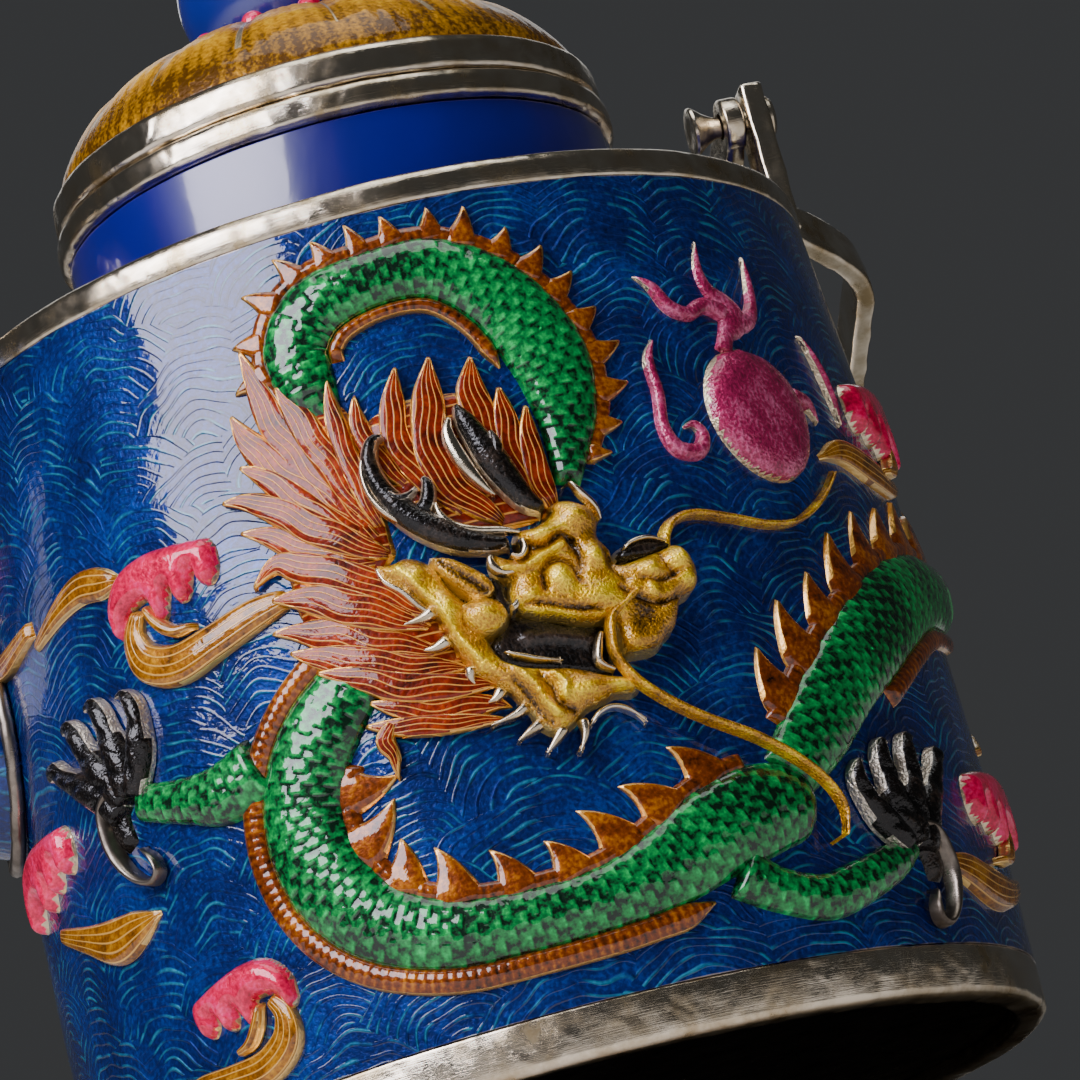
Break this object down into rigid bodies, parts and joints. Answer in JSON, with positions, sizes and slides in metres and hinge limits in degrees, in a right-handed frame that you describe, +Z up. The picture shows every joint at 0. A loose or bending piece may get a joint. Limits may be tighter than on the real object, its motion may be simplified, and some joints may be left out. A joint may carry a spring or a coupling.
{
  "type": "enamelled lidded pot",
  "caption": "Round lidded pot of enamelled metal with a dragon in relief, a curved spout, a domed lid with a ball knob and a swinging carrying bail.",
  "frame": {"origin": "centre of the flat underside of the base plate, 1.6 mm above the plane that the foot stands on", "axes": "+Z up along the pot's axis, spout towards -X, bail pivots on a line along X, bail folded back towards +Y"},
  "size_m": [0.1454, 0.1358, 0.1297],
  "materials": {
    "silver": "silver plate, hand polished over hammer marks",
    "old_silver": "silver plate gone grey and scratched",
    "brass": "plain turned brass",
    "blue_enamel": "clear blue glass enamel over chased metal",
    "cobalt_enamel": "smooth glossy cobalt glass enamel",
    "amber_enamel": "clear amber glass enamel over chased metal",
    "knob_enamel": "smooth glossy royal blue glass enamel"
  },
  "bodies": {
    "vessel": {"base_band": "old_silver", "base_plate": "old_silver", "body_shell": "blue_enamel", "shoulder_rim": "silver", "shoulder_plate": "cobalt_enamel", "neck_collar": "cobalt_enamel", "neck_ring": "silver", "spout_body": "blue_enamel", "spout_collar": "silver", "spout_lip": "silver", "lug_right": "silver", "lug_left": "silver", "pivot_pin_right": "silver", "pivot_pin_left": "silver"},
    "lid": {"lid_flange": "old_silver", "lid_ring": "silver", "lid_dome": "amber_enamel", "knob_collar": "silver", "knob": "knob_enamel", "knob_screw": "brass", "knob_washer": "brass", "knob_nut": "brass"},
    "bail": {"bail_handle": "silver"}
  },
  "joints": [
    {"name": "bail_swing", "type": "hinge", "parent": "vessel", "child": "bail", "pos_m": [0, 0, 0.0944], "axis": [1, 0, 0], "range_deg": [0, 220]},
    {"name": "lid_lift", "type": "slide", "parent": "vessel", "child": "lid", "axis": [0, 0, 1], "range_m": [0, 0.05]}
  ]
}
